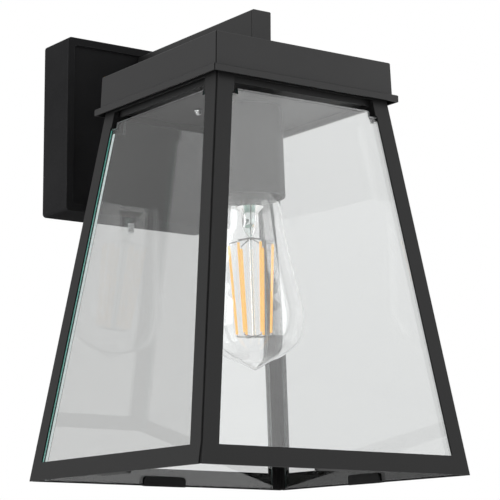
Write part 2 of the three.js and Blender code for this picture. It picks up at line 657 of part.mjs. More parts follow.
const filamentAngle = (k) => (filament.turn + (360 * k) / filament.count) * DEG;
const around = (k, radius, z) => [
  radius * Math.sin(filamentAngle(k)),
  radius * Math.cos(filamentAngle(k)),
  z,
];
const filamentTop = (k) => around(k, filament.upperR, -filament.top);
const filamentBottom = (k) => around(k, filament.lowerR, -filament.top - filament.length);

function filaments() {
  for (let k = 0; k < filament.count; k++) {
    const top = new THREE.Vector3(...filamentTop(k));
    const bottom = new THREE.Vector3(...filamentBottom(k));
    const along = bottom.clone().sub(top);
    const length = along.length() - 2 * GAP;
    const stick = rod(filament.radius, -length / 2, length / 2, 8);
    const mesh = add(`filament_${k + 1}`, stick, MATERIAL.phosphor, bulbGroup);
    mesh.position.copy(top.clone().add(bottom).multiplyScalar(0.5));
    mesh.quaternion.setFromUnitVectors(new THREE.Vector3(0, 0, 1), along.normalize());
  }
}

// A star of wires round the glass rod, one arm to each filament's end.
function wireStar(ends, hubZ) {
  const hub = tube(stem.rod + GAP + 0.9, stem.rod + GAP, hubZ - 0.5, hubZ + 0.5, 20);
  const arms = ends.map(([x, y, z]) => {
    const start = new THREE.Vector2(x, y).setLength(stem.rod + GAP + 0.5);
    const middle = [(x + start.x) / 2, (y + start.y) / 2, (z + hubZ) / 2];
    return cable([[start.x, start.y, hubZ], middle, [x, y, z]], lead.radius, 3, 6);
  });
  return join(hub, ...arms);
}

function bulbPieces() {
  add("bulb_glass", bulbGlass(), MATERIAL.clearGlass, bulbGroup);
  add("bulb_stem", bulbStem(), MATERIAL.clearGlass, bulbGroup);
  filaments();
  const all = Array.from({ length: filament.count }, (_, k) => k);
  const upper = wireStar(all.map(filamentTop), -filament.top + 2.6);
  const lower = wireStar(all.map(filamentBottom), -filament.top - filament.length - 0.4);
  add("upper_wires", upper, MATERIAL.nickel, bulbGroup);
  add("lower_wires", lower, MATERIAL.nickel, bulbGroup);
  const b = bulb.baseRadius;
  const w = bulb.baseWall;
  const baseLow = -neckStart;
  const baseTop = -bulb.tipInsulator;
  add("bulb_base", turned([
    [b - w, baseLow], [b, baseLow], [b, baseTop - 3], [9.5, baseTop], [8.6, baseTop], [b - w, baseTop - 3.6],
  ]), MATERIAL.nickel, bulbGroup);
  add("base_insulator", turned([
    [5, -1.4], [6, -1.6], [8.2, baseTop + 0.2], [8.2, baseTop - 3], [5, baseTop - 3],
  ], 24), MATERIAL.blackPlastic, bulbGroup);
  const button = turned([[0, 0], [3.4, -0.1], [4.6, -1], [4.6, -2.6], [0, -2.6]], 24);
  add("base_contact", button, MATERIAL.nickel, bulbGroup);
  const d = driver;
  const card = box(-d.width / 2, d.width / 2, -d.depth / 2, d.depth / 2, -d.below - d.thickness, -d.below);
  add("driver_board", card, MATERIAL.whitePlastic, bulbGroup);
}

// ---- internal wiring ----------------------------------------------------------------------------------
function wiring() {
  const top = blockTop;
  const side = wire.pitch / 2;
  const run = (x, sign) => {
    const lane = sign * side;
    return [
      [x, poleY, top - 3], [x, poleY, top + 4], [x * 0.8, poleY - 1, top + 14],
      [lane, poleY - 3, armMiddle - 11], [lane, plateBack + 5, armMiddle - 2],
      [lane, plateBack - 3, armMiddle], [lane, plateBack - 25, armMiddle],
      [lane, dropY + 30, armMiddle - 1], [lane, dropY + 6, armMiddle - 5],
      [lane, dropY, armBottom + 5], [lane, dropY, cap.top - 2], [lane, dropY - 2, cap.top - 6],
      [lane, -reach + 8, nipple.above + 4], [lane, -reach + 1, nipple.above],
      [lane, -reach, 0], [lane, -reach, ceiling.underside - 10],
    ];
  };
  add("live_wire", cable(run(-block.pitch, -1), wire.radius, 46), MATERIAL.wireBrown);
  add("neutral_wire", cable(run(0, 1), wire.radius, 46), MATERIAL.wireBlue);
  add("earth_wire", cable([
    [block.pitch, poleY, top - 3], [block.pitch, poleY, top + 4], [block.pitch + 1, poleY + 1, earth.z - 10],
    [earth.x, earthHead - 1.6, earth.z - 4], [earth.x, earthHead - wire.radius - GAP, earth.z + 1],
  ], wire.radius, 16), MATERIAL.wireGreen);
}

wallSide();
terminals();
armPieces();
capPieces();
cagePieces();
holderPieces();
bulbPieces();
wiring();

export default lantern;
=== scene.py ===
"""An outdoor wall lantern: powder-coated cage, cap, arm and wall plate, clear panes and a filament bulb."""

import json
import math

import bpy
from mathutils import Matrix, Vector


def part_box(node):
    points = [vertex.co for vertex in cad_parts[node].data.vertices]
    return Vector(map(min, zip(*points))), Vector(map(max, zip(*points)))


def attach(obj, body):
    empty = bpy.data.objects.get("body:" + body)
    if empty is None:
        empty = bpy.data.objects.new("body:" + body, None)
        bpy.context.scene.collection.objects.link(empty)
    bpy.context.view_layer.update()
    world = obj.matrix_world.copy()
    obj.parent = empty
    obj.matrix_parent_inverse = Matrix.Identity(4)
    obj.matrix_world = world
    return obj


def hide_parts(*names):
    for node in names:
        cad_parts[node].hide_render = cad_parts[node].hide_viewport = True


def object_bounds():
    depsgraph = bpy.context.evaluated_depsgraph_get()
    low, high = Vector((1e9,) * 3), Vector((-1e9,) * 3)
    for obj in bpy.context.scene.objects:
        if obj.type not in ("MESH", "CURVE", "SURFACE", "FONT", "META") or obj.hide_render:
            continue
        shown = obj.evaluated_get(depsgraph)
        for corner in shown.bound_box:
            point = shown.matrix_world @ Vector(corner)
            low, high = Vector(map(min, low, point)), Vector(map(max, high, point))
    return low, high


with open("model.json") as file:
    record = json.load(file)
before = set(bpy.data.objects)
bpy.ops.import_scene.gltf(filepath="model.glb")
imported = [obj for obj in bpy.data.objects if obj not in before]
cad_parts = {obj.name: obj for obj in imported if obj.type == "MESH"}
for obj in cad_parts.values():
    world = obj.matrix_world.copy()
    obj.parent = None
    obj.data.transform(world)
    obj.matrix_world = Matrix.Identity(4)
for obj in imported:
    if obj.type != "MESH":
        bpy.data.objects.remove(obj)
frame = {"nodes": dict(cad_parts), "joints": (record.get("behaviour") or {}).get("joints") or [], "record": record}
cad_low, cad_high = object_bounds()
nodes = frame["nodes"]
record = frame["record"]
slot_of = {s["node"]: s["material_slot"] for s in record["subparts"]}
scene = bpy.context.scene

MM = 0.001
LEAN = math.radians(8.06)  # how far the panes lean off plumb
MIDDLE = (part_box("frame_front")[0].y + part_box("frame_back")[1].y) / 2  # the cage's axis
CAGE_BOTTOM = -240.2 * MM  # the lower edge of the frames' outer faces
NOTCH_FLOOR = -18 * MM  # just below the notches in the panes' upper corners

# ---- camera -------------------------------------------------------------------------------------------
# Low on the lantern's left, looking a little up, through a long lens.
AZIMUTH, ELEVATION, ROLL = math.radians(-34.93), math.radians(-10.04), math.radians(0.2)
FOCAL_LENGTH = 142.99  # mm, on a 36 mm wide sensor
STANDPOINT = Vector((-0.7014, -1.1584, -0.3150))
back = Vector((
    math.sin(AZIMUTH) * math.cos(ELEVATION),
    -math.cos(AZIMUTH) * math.cos(ELEVATION),
    math.sin(ELEVATION),
))
side = Vector((0, 0, 1)).cross(back).normalized()
upward = back.cross(side)
right = math.cos(ROLL) * side - math.sin(ROLL) * upward
up = math.cos(ROLL) * upward + math.sin(ROLL) * side

lens = bpy.data.cameras.new("camera")
lens.sensor_width = 36
lens.lens = FOCAL_LENGTH
lens.clip_start, lens.clip_end = 0.05, 50
camera = bpy.data.objects.new("camera", lens)
scene.collection.objects.link(camera)
place = Matrix((right, up, back)).transposed().to_4x4()
place.translation = STANDPOINT
camera.matrix_world = place
scene.camera = camera
scene.view_settings.view_transform = "Standard"
scene.cycles.max_bounces = 24
scene.cycles.transmission_bounces = 24
scene.cycles.glossy_bounces = 8


# ---- materials ----------------------------------------------------------------------------------------
class Finish:
    """One procedural material: a Principled shader with helpers for the textures that feed it."""

    def __init__(self, name, **values):
        self.material = bpy.data.materials.new(name)
        self.material.use_nodes = True
        self.tree = self.material.node_tree
        self.shader = self.tree.nodes["Principled BSDF"]
        self.output = self.tree.nodes["Material Output"]
        for socket, value in values.items():
            self.shader.inputs[socket.replace("_", " ")].default_value = value
        self.where = self.add("ShaderNodeTexCoord").outputs["Object"]

    def add(self, kind, **settings):
        node = self.tree.nodes.new(kind)
        for key, value in settings.items():
            setattr(node, key, value)
        return node

    def link(self, source, target):
        self.tree.links.new(source, target)

    def feed(self, source, socket):
        self.link(source, self.shader.inputs[socket])

    def noise(self, scale, detail=2.0, rough=0.5, stretch=None):
        node = self.add("ShaderNodeTexNoise")
        node.inputs["Scale"].default_value = scale
        node.inputs["Detail"].default_value = detail
        node.inputs["Roughness"].default_value = rough
        source = self.where
        if stretch:
            mapping = self.add("ShaderNodeMapping")
            mapping.inputs["Scale"].default_value = stretch
            self.link(self.where, mapping.inputs["Vector"])
            source = mapping.outputs["Vector"]
        self.link(source, node.inputs["Vector"])
        return node.outputs["Fac"]

    def cells(self, scale):
        node = self.add("ShaderNodeTexVoronoi")
        node.inputs["Scale"].default_value = scale
        self.link(self.where, node.inputs["Vector"])
        return node.outputs["Distance"]

    def ranged(self, source, low, high, start=0.3, end=0.7):
        node = self.add("ShaderNodeMapRange")
        node.inputs["From Min"].default_value = start
        node.inputs["From Max"].default_value = end
        node.inputs["To Min"].default_value = low
        node.inputs["To Max"].default_value = high
        self.link(source, node.inputs["Value"])
        return node.outputs["Result"]

    def tones(self, source, *stops):
        """Colours along a ramp: (position, (r, g, b)) each."""
        node = self.add("ShaderNodeValToRGB")
        ramp = node.color_ramp
        while len(ramp.elements) < len(stops):
            ramp.elements.new(0.5)
        for element, (position, color) in zip(ramp.elements, stops):
            element.position = position
            element.color = (*color, 1)
        self.link(source, node.inputs["Fac"])
        return node.outputs["Color"]

    def mix(self, factor, a, b):
        """Colour a where factor is 0, b where it is 1; a and b are outputs or colours."""
        node = self.add("ShaderNodeMix", data_type="RGBA")
        self.link(factor, node.inputs["Factor"])
        for value, socket in ((a, node.inputs[6]), (b, node.inputs[7])):
            if isinstance(value, bpy.types.NodeSocket):
                self.link(value, socket)
            else:
                socket.default_value = (*value, 1)
        return node.outputs[2]

    def math(self, operation, a, b=0.0, clamp=False):
        node = self.add("ShaderNodeMath", operation=operation, use_clamp=clamp)
        for value, socket in ((a, node.inputs[0]), (b, node.inputs[1])):
            if isinstance(value, bpy.types.NodeSocket):
                self.link(value, socket)
            else:
                socket.default_value = value
        return node.outputs[0]

    def relief(self, *layers):
        """Bumps laid over each other: (height, strength, depth in metres) each."""
        normal = None
        for height, strength, depth in layers:
            node = self.add("ShaderNodeBump")
            node.inputs["Strength"].default_value = strength
            node.inputs["Distance"].default_value = depth
            self.link(height, node.inputs["Height"])
            if normal:
                self.link(normal, node.inputs["Normal"])
            normal = node.outputs["Normal"]
        self.feed(normal, "Normal")

    def edges(self, radius):
        """1 on sharp edges, 0 on the flats between them."""
        bevel = self.add("ShaderNodeBevel", samples=4)
        bevel.inputs["Radius"].default_value = radius
        flat = self.add("ShaderNodeNewGeometry").outputs["Normal"]
        dot = self.add("ShaderNodeVectorMath", operation="DOT_PRODUCT")
        self.link(bevel.outputs["Normal"], dot.inputs[0])
        self.link(flat, dot.inputs[1])
        return self.ranged(dot.outputs["Value"], 1.0, 0.0, 0.85, 0.995)


def scaled(color, factor):
    """A colour made lighter or darker."""
    return tuple(min(1.0, c * factor) for c in color)


def powder(name, tone, gloss=0.5, sheen=0.26, wear_and_highlight=2.6, axis=None):
    """Fine-textured powder coat: pinhead grain, a soft orange peel, and edges painted lighter, partly as rubbed
    wear and partly as a painted highlight.

    Given the y of an upright axis, faces turned towards that axis get less sheen, as painted shade inside the
    cage.
    """
    f = Finish(name, Specular_IOR_Level=sheen)
    grain = f.noise(1500, 3, 0.6)
    peel = f.noise(260, 2, 0.5)
    broad = f.noise(16, 3, 0.55)
    coat = f.tones(broad, (0.3, scaled(tone, 0.86)), (0.7, scaled(tone, 1.12)))
    speck = f.mix(f.ranged(grain, 0.0, 0.5, 0.52, 0.75), coat, scaled(tone, 1.9))
    # edges painted lighter: partly rubbed wear, partly a painted highlight, stronger where the lighter factor is
    # raised
    rub_and_highlight = f.math("MULTIPLY", f.edges(0.0006), f.ranged(f.noise(90, 3), 0.1, 0.7), clamp=True)
    f.feed(f.mix(rub_and_highlight, speck, scaled(tone, wear_and_highlight)), "Base Color")
    uneven = f.math("ADD", f.ranged(grain, -0.06, 0.06), f.ranged(broad, gloss - 0.03, gloss + 0.04))
    f.feed(uneven, "Roughness")
    # painted shade: faces turned in towards the cage's axis lose sheen
    if axis is not None:
        geometry = f.add("ShaderNodeNewGeometry")
        outward = f.add("ShaderNodeVectorMath", operation="SUBTRACT")
        f.link(geometry.outputs["Position"], outward.inputs[0])
        outward.inputs[1].default_value = (0, axis, CAGE_BOTTOM / 2)
        turned = f.add("ShaderNodeVectorMath", operation="DOT_PRODUCT")
        f.link(outward.outputs["Vector"], turned.inputs[0])
        f.link(geometry.outputs["Normal"], turned.inputs[1])
        f.feed(f.ranged(turned.outputs["Value"], sheen * 0.3, sheen, -0.02, 0.0), "Specular IOR Level")
    f.relief((peel, 0.25, 0.00006), (grain, 0.5, 0.00005))
    return f.material


def metal(name, color, rough, stretch=(1, 1, 1), scale=700, depth=0.000012, stain=0.8):
    """Plated or drawn metal with fine marks along one direction and a faint uneven tone."""
    f = Finish(name, Metallic=1.0)
    marks = f.noise(scale, 4, 0.6, stretch)
    cloud = f.noise(120, 3, 0.6)
    f.feed(f.tones(cloud, (0.3, scaled(color, stain)), (0.65, color)), "Base Color")
    uneven = f.math("ADD", f.ranged(marks, -0.06, 0.08), f.ranged(cloud, rough + 0.06, rough - 0.02))
    f.feed(uneven, "Roughness")
    f.relief((marks, 0.4, depth))
    return f.material


def plastic(name, color, rough, spread=0.06, grain=900, depth=0.00001, **values):
    """Moulded plastic: a faint mould grain, and a tone that varies a little over the part."""
    f = Finish(name, **values)
    fine = f.noise(grain, 3, 0.55)
    cloud = f.noise(60, 2, 0.5)
    f.feed(f.tones(cloud, (0.3, scaled(color, 1 - spread)), (0.7, scaled(color, 1 + spread))), "Base Color")
    f.feed(f.ranged(fine, rough - 0.05, rough + 0.06), "Roughness")
    f.relief((fine, 0.3, depth))
    return f.material


def clear_glass(name, absorb, density, smear=0.002, wave=None, face=None, painted_glow=None, painted_glow_side=None):
    """Clear glass: thick glass takes on the absorption colour, and its faces carry a faint film.

    Given a pane's face direction, its ground edges are matt, and the upright one on the side that faces the light
    (axis, sign, place) is painted glowing, with emission and a pale painted colour for the light that the pane
    carries to it.
    """
    f = Finish(name, Transmission_Weight=1.0, IOR=1.5, Base_Color=(1, 1, 1, 1))
    film = f.noise(45, 4, 0.65)
    rough = f.ranged(film, 0.0, smear, 0.45, 0.8)
    if face:
        normal = f.add("ShaderNodeNewGeometry").outputs["Normal"]
        dot = f.add("ShaderNodeVectorMath", operation="DOT_PRODUCT")
        f.link(normal, dot.inputs[0])
        dot.inputs[1].default_value = face
        edge = f.ranged(f.math("ABSOLUTE", dot.outputs["Value"]), 1.0, 0.0, 0.3, 0.6)
        axes = f.add("ShaderNodeSeparateXYZ")
        f.link(normal, axes.inputs[0])
        level = f.ranged(f.math("ABSOLUTE", axes.outputs["Z"]), 0.0, 1.0, 0.4, 0.7)
        grind = f.noise(700, 3)
        tint = f.mix(level, (0.02, 0.045, 0.042), (0.13, 0.13, 0.15))
        f.feed(f.math("SUBTRACT", 1.0, f.math("MULTIPLY", edge, 0.9)), "Transmission Weight")
        # painted light: on that side the upright edge is painted glowing, a pale colour and emission in place of
        # light the pane carries
        if painted_glow_side:
            axis, sign, start = painted_glow_side
            spot = f.add("ShaderNodeSeparateXYZ")
            f.link(f.add("ShaderNodeNewGeometry").outputs["Position"], spot.inputs[0])
            beyond = f.math("GREATER_THAN", f.math("MULTIPLY", spot.outputs[axis], sign), sign * start)
            beyond = f.math("MULTIPLY", beyond, f.math("LESS_THAN", spot.outputs["Z"], NOTCH_FLOOR))
            painted_glow_mask = f.math("MULTIPLY", f.math("MULTIPLY", edge, beyond), f.math("SUBTRACT", 1.0, level))
            tint = f.mix(painted_glow_mask, tint, scaled(painted_glow, 0.9))
            f.feed(f.math("MULTIPLY", painted_glow_mask, f.ranged(grind, 0.85, 1.1)), "Emission Strength")
        f.feed(f.mix(edge, (1, 1, 1), tint), "Base Color")
        f.shader.inputs["Emission Color"].default_value = (*painted_glow, 1)
        rough = f.math("ADD", rough, f.math("MULTIPLY", edge, 0.5))
    f.feed(rough, "Roughness")
    if wave:
        f.relief((f.noise(wave[0], 1, 0.4), 0.3, wave[1]))
    body = f.add("ShaderNodeVolumeAbsorption")
    body.inputs["Color"].default_value = (*absorb, 1)
    body.inputs["Density"].default_value = density
    f.link(body.outputs["Volume"], f.output.inputs["Volume"])
    return f.material


def phosphor(name):
    """The yellow-orange silicone coat of a filament, with its row of tiny chips showing as paler beads, painted
    glowing orange as well.
    """
    f = Finish(name, Specular_IOR_Level=0.4, Subsurface_Weight=0.2)
    f.shader.inputs["Subsurface Scale"].default_value = 0.0006
    # painted light: the coat is painted glowing orange with a little emission
    f.shader.inputs["Emission Strength"].default_value = 0.6
    f.shader.inputs["Emission Color"].default_value = (1.0, 0.52, 0.03, 1)
    beads = f.noise(900, 2, 0.5)
    f.feed(f.tones(beads, (0.35, (0.90, 0.44, 0.03)), (0.65, (0.98, 0.56, 0.06))), "Base Color")
    f.feed(f.ranged(beads, 0.4, 0.6), "Roughness")
    f.relief((beads, 0.3, 0.00005))
    return f.material


def board(name):
    """A pale circuit board with faintly darker tracks."""
    f = Finish(name, Specular_IOR_Level=0.5, Roughness=0.4)
    tracks = f.cells(420)
    f.feed(f.tones(tracks, (0.25, (0.36, 0.36, 0.34)), (0.5, (0.56, 0.56, 0.53))), "Base Color")
    f.feed(f.ranged(tracks, 0.3, 0.5), "Roughness")
    f.relief((tracks, 0.3, 0.00003))
    return f.material


def green_yellow(name):
    """Earth wire: yellow with a green stripe down it."""
    f = Finish(name)
    stripe = f.add("ShaderNodeTexWave", wave_type="BANDS", bands_direction="X")
    stripe.inputs["Scale"].default_value = 180
    f.link(f.where, stripe.inputs["Vector"])
    yellow, green = (0.60, 0.50, 0.02), (0.04, 0.26, 0.04)
    f.feed(f.tones(stripe.outputs["Fac"], (0.48, yellow), (0.52, green)), "Base Color")
    fine = f.noise(900, 2)
    f.feed(f.ranged(fine, 0.38, 0.5), "Roughness")
    f.relief((fine, 0.2, 0.00001))
    return f.material


FINISH = {
    "powder_black": powder("powder_black", (0.015, 0.015, 0.0153)),
    "clear_glass": clear_glass("clear_glass", (0.10, 0.22, 0.19), 26.0, smear=0.0, wave=(14, 0.00002)),
    "zinc": metal("zinc", (0.52, 0.54, 0.56), 0.38, scale=300, stain=0.7),
    "steel": metal("steel", (0.72, 0.73, 0.74), 0.16, (1, 1, 8)),
    "brass": metal("brass", (0.78, 0.56, 0.24), 0.24, (1, 1, 6)),
    "nickel": metal("nickel", (0.66, 0.63, 0.58), 0.18, (1, 1, 6)),
    "foam": plastic("foam", (0.02, 0.02, 0.021), 0.9, 0.2, 1600, 0.0002),
    "rubber": plastic("rubber", (0.025, 0.025, 0.027), 0.8, 0.15),
    "white_plastic": plastic("white_plastic", (0.76, 0.75, 0.70), 0.42),
    "black_plastic": plastic("black_plastic", (0.022, 0.022, 0.024), 0.5, 0.15),
    "brown_insulation": plastic("brown_insulation", (0.15, 0.055, 0.02), 0.45),
    "blue_insulation": plastic("blue_insulation", (0.03, 0.12, 0.42), 0.45),
    "green_insulation": green_yellow("green_yellow"),
    "phosphor": phosphor("phosphor"),
    "circuit_board": board("circuit_board"),
}
# the wall plate's coat: a lighter tone as painted light on its shaded front, no sheen as painted shade on its
# side, and edges painted much lighter as a painted highlight on its recess
PLATE_COAT = powder("powder_black_plate", (0.018, 0.018, 0.0187), 0.6, 0.0, 4.5)
# the sleeve's coat: edges painted much lighter, a painted highlight along its rim
SLEEVE_COAT = powder("powder_black_sleeve", (0.016, 0.016, 0.0158), 0.5, 0.26, 9.0)
DARK_WIRE = metal("dark_wire", (0.16, 0.155, 0.15), 0.3, (1, 1, 6))
# the frames' coat: darker and less glossy than the cap's, as painted shade on the cage, and its inner faces get
# painted shade too
FRAME_COAT = powder("powder_black_frame", (0.0118, 0.0118, 0.012), 0.54, 0.19, axis=MIDDLE)
BULB_GLASS = clear_glass("bulb_glass", (0.85, 0.93, 0.91), 3.0, smear=0.0)


# ---- CAD nodes that stay: folds and cut edges get a real radius -----------------------------------------
SIDES = ("front", "right", "back", "left")
ROUNDED = {  # edge radius in mm
    "cap": 0.6, "ceiling_plate": 0.5, "wall_plate": 0.5, "arm_tube": 0.4, "arm_end_cap": 0.25,
    "mounting_bracket": 0.3, "terminal_block": 0.4, "arm_root_block": 0.3, "wall_gasket": 0.4,
    "holder_contact": 0.1, "nipple_nut": 0.4, "driver_board": 0.15,
    **{f"frame_{side}": 0.2 for side in SIDES}, **{f"glass_{side}": 0.25 for side in SIDES},
}


def rounded(node, width):
    """Welds a node's faces into one surface, then rounds its edges."""
    weld = node.modifiers.new("weld", "WELD")
    weld.merge_threshold = 0.00001
    flat = node.modifiers.new("flat", "DECIMATE")
    flat.decimate_type = "DISSOLVE"
    flat.angle_limit = math.radians(0.5)
    if width:
        bevel = node.modifiers.new("edge", "BEVEL")
        bevel.width = width * MM
        bevel.segments = 2
        bevel.limit_method = "ANGLE"
        bevel.angle_limit = math.radians(32)
        bevel.harden_normals = True
        bevel.use_clamp_overlap = True


def smoothed(mesh, angle):
    """Smooth shading, with edges sharper than the angle kept crisp."""
    mesh.shade_smooth()
    mesh.set_sharp_from_angle(angle=math.radians(angle))


for name, node in nodes.items():
    node.material_slots[0].material = FINISH[slot_of[name]]
    mesh = node.data
    if "custom_normal" in mesh.attributes:
        mesh.attributes.remove(mesh.attributes["custom_normal"])
    rounded(node, ROUNDED.get(name, 0))
    if name in ROUNDED or "wire" in name:
        mesh.shade_smooth()
nodes["wall_plate"].material_slots[0].material = PLATE_COAT
for name in SIDES:
    nodes[f"frame_{name}"].material_slots[0].material = FRAME_COAT
for name in ("upper_wires", "lower_wires"):
    nodes[name].material_slots[0].material = DARK_WIRE

# colours painted glowing onto the panes' upright edges
PAINTED_GREEN_GLOW, PAINTED_WHITE_GLOW = (0.09, 0.36, 0.30), (0.70, 0.78, 0.77)
# the left pane's glass absorbs more, as painted shade on what is seen through it
CLEAR, PAINTED_SHADE_GLASS = ((0.10, 0.22, 0.19), 24.0), ((0.20, 0.22, 0.20), 65.0)
PANES = {  # facing, absorption, colour painted glowing on the edges, the side whose upright edge is painted glowing
    "front": ((0, -1), CLEAR, PAINTED_GREEN_GLOW, None),
    "right": ((1, 0), CLEAR, PAINTED_GREEN_GLOW, ("Y", -1, MIDDLE)),
    "back": ((0, 1), CLEAR, PAINTED_WHITE_GLOW, ("X", -1, 0.0)),
    "left": ((-1, 0), PAINTED_SHADE_GLASS, PAINTED_GREEN_GLOW, ("Y", 1, MIDDLE)),
}
for name, ((x, y), (absorb, density), painted_glow, painted_glow_side) in PANES.items():
    face = (x * math.cos(LEAN), y * math.cos(LEAN), math.sin(LEAN))
    pane = clear_glass(f"pane_{name}", absorb, density, wave=(14, 0.00002), face=face, painted_glow=painted_glow, painted_glow_side=painted_glow_side)
    nodes[f"glass_{name}"].material_slots[0].material = pane


# ---- finer pieces ---------------------------------------------------------------------------------------
def piece(name, vertices, faces, body, slot, replaced, material=None, sharp=35):
    """A mesh that rides on a body and stands in for the CAD nodes it replaces."""
    mesh = bpy.data.meshes.new(name)
    mesh.from_pydata(vertices, [], faces)
    mesh.validate()
    smoothed(mesh, sharp)
    mesh.materials.append(material or FINISH[slot])
    made = bpy.data.objects.new(name, mesh)
    scene.collection.objects.link(made)
    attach(made, body)
    if replaced:
        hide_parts(*replaced)
    return made


def placed(points, matrix):
    """Points in millimetres, moved by a matrix in metres."""
    return [matrix @ (Vector(p) * MM) for p in points]


def circle(radius, height, count):
    angles = (2 * math.pi * i / count for i in range(count))
    return [(radius * math.cos(a), radius * math.sin(a), height) for a in angles]


def bands(rows, count):
    """Faces that join each ring of count points to the next one, over a number of rows."""
    return [(row * count + i, row * count + (i + 1) % count,
             (row + 1) * count + (i + 1) % count, (row + 1) * count + i)
            for row in range(rows) for i in range(count)]


def turned(profile, segments, closed=False):
    """A profile of (radius, height) in millimetres turned about Z: (points, faces)."""
    points, rings = [], []
    for radius, height in profile:
        if radius < 1e-6:
            rings.append([len(points)])
            points.append((0, 0, height))
            continue
        rings.append(list(range(len(points), len(points) + segments)))
        points.extend(circle(radius, height, segments))
    faces = []
    pairs = list(zip(rings, rings[1:]))
    if closed:
        pairs.append((rings[-1], rings[0]))
    for low, high in pairs:
        for i in range(segments):
            j = (i + 1) % segments
            if len(low) == 1:
                faces.append((low[0], high[j], high[i]))
            elif len(high) == 1:
                faces.append((low[i], low[j], high[0]))
            else:
                faces.append((low[i], low[j], high[j], high[i]))
    return points, faces


def through(points, steps):
    """A centripetal Catmull-Rom curve through 2-D points."""
    points = [Vector(p) for p in points]
    ends = [2 * points[0] - points[1], *points, 2 * points[-1] - points[-2]]
    out = []
    for k in range(1, len(ends) - 2):
        p0, p1, p2, p3 = ends[k - 1:k + 3]
        t0 = 0.0
        t1 = t0 + math.sqrt((p1 - p0).length)
        t2 = t1 + math.sqrt((p2 - p1).length)
        t3 = t2 + math.sqrt((p3 - p2).length)
        for s in range(steps):
            t = t1 + (t2 - t1) * s / steps
            a1 = p0 * ((t1 - t) / (t1 - t0)) + p1 * ((t - t0) / (t1 - t0))
            a2 = p1 * ((t2 - t) / (t2 - t1)) + p2 * ((t - t1) / (t2 - t1))
            a3 = p2 * ((t3 - t) / (t3 - t2)) + p3 * ((t - t2) / (t3 - t2))
            b1 = a1 * ((t2 - t) / (t2 - t0)) + a2 * ((t - t0) / (t2 - t0))
            b2 = a2 * ((t3 - t) / (t3 - t1)) + a3 * ((t - t1) / (t3 - t1))
            out.append(tuple(b1 * ((t2 - t) / (t2 - t1)) + b2 * ((t - t1) / (t2 - t1))))
    out.append(tuple(points[-1]))
    return out


def eased(profile, radius, steps=3):
    """The same closed profile with each corner rounded."""
    out = []
    count = len(profile)
    for i, corner in enumerate(profile):
        before, here, after = Vector(profile[i - 1]), Vector(corner), Vector(profile[(i + 1) % count])
        cut = min(radius, (before - here).length * 0.4, (after - here).length * 0.4)
        a = here + (before - here).normalized() * cut
        b = here + (after - here).normalized() * cut
        for s in range(steps + 1):
            t = s / steps
            out.append(tuple(a * (1 - t) ** 2 + here * (2 * t * (1 - t)) + b * t ** 2))
    return out


def tube_along(path, radius, sides=8):
    """A round tube along a line of points: (points, faces)."""
    points = []
    path = [Vector(p) for p in path]
    lead = Vector((0.31, 0.53, 0.79))  # any direction that isn't along the path
    for i, here in enumerate(path):
        along = (path[min(i + 1, len(path) - 1)] - path[max(i - 1, 0)]).normalized()
        a = (lead - along * lead.dot(along)).normalized()
        b = along.cross(a)
        lead = a
        for k in range(sides):
            turn = 2 * math.pi * k / sides
            points.append(tuple(here + (a * math.cos(turn) + b * math.sin(turn)) * radius))
    faces = bands(len(path) - 1, sides)
    faces.append(tuple(reversed(range(sides))))
    faces.append(tuple(range((len(path) - 1) * sides, len(path) * sides)))
    return points, faces


def merged(*shapes):
    """Several (points, faces) shapes as one."""
    points, faces = [], []
    for more, polygons in shapes:
        start = len(points)
        points.extend(more)
        faces.extend(tuple(start + i for i in polygon) for polygon in polygons)
    return points, faces


SCREW_PITCH = 3.62  # of the bulb's base and the shell it turns in
ROWS_A_TURN = 14


def threaded(outline, segments, turns, depth, start, wall):
    """A tube whose wall carries a rounded screw thread. outline is its radius, start its lowest height."""
    rows = int(turns * ROWS_A_TURN)
    points = []

    def ring(radius, height):
        for i in range(segments):
            a = 2 * math.pi * i / segments
            phase = 2 * math.pi * height / SCREW_PITCH - a
            r = radius - depth * (0.5 - 0.5 * math.cos(phase))
            points.append((r * math.cos(a), r * math.sin(a), height))

    heights = [start + SCREW_PITCH * turns * k / rows for k in range(rows + 1)]
    for height in heights:
        ring(outline, height)
    for height in reversed(heights):
        ring(outline - wall, height)
    total = len(points)
    faces = [tuple(i % total for i in face) for face in bands(total // segments, segments)]
    return points, faces


# The lampholder's own axis: down from the ceiling along the joint's direction.
CEILING_SHEET = 1.2
TIP_DEPTH = 24.8  # from the ceiling to the bulb's tip contact
down = Vector(frame["joints"][0]["axis"]).normalized()
tray_low, tray_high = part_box("ceiling_plate")
CEILING = Vector((
    (tray_low.x + tray_high.x) / 2, (tray_low.y + tray_high.y) / 2, tray_high.z - CEILING_SHEET * MM,
))
LAMP = Matrix.Translation(CEILING) @ Vector((0, 0, 1)).rotation_difference(-down).to_matrix().to_4x4()
BULB = LAMP @ Matrix.Translation((0, 0, -TIP_DEPTH * MM))


def sleeve():
    """The round cover under the ceiling, with a folded-in rim."""
    outline = [
        (5.3, -1.5), (22.0, -1.5), (23.0, -2.5), (23.0, -59.2), (22.5, -59.7), (20.6, -59.7), (20.6, -58.7),
        (22.0, -58.1), (22.0, -2.5), (5.3, -2.5),
    ]
    points, faces = turned(eased(list(reversed(outline)), 0.35), 128, closed=True)
    points = placed(points, LAMP)
    piece("sleeve_fine", points, faces, "lantern", "powder_black", ["lamp_sleeve"], SLEEVE_COAT)


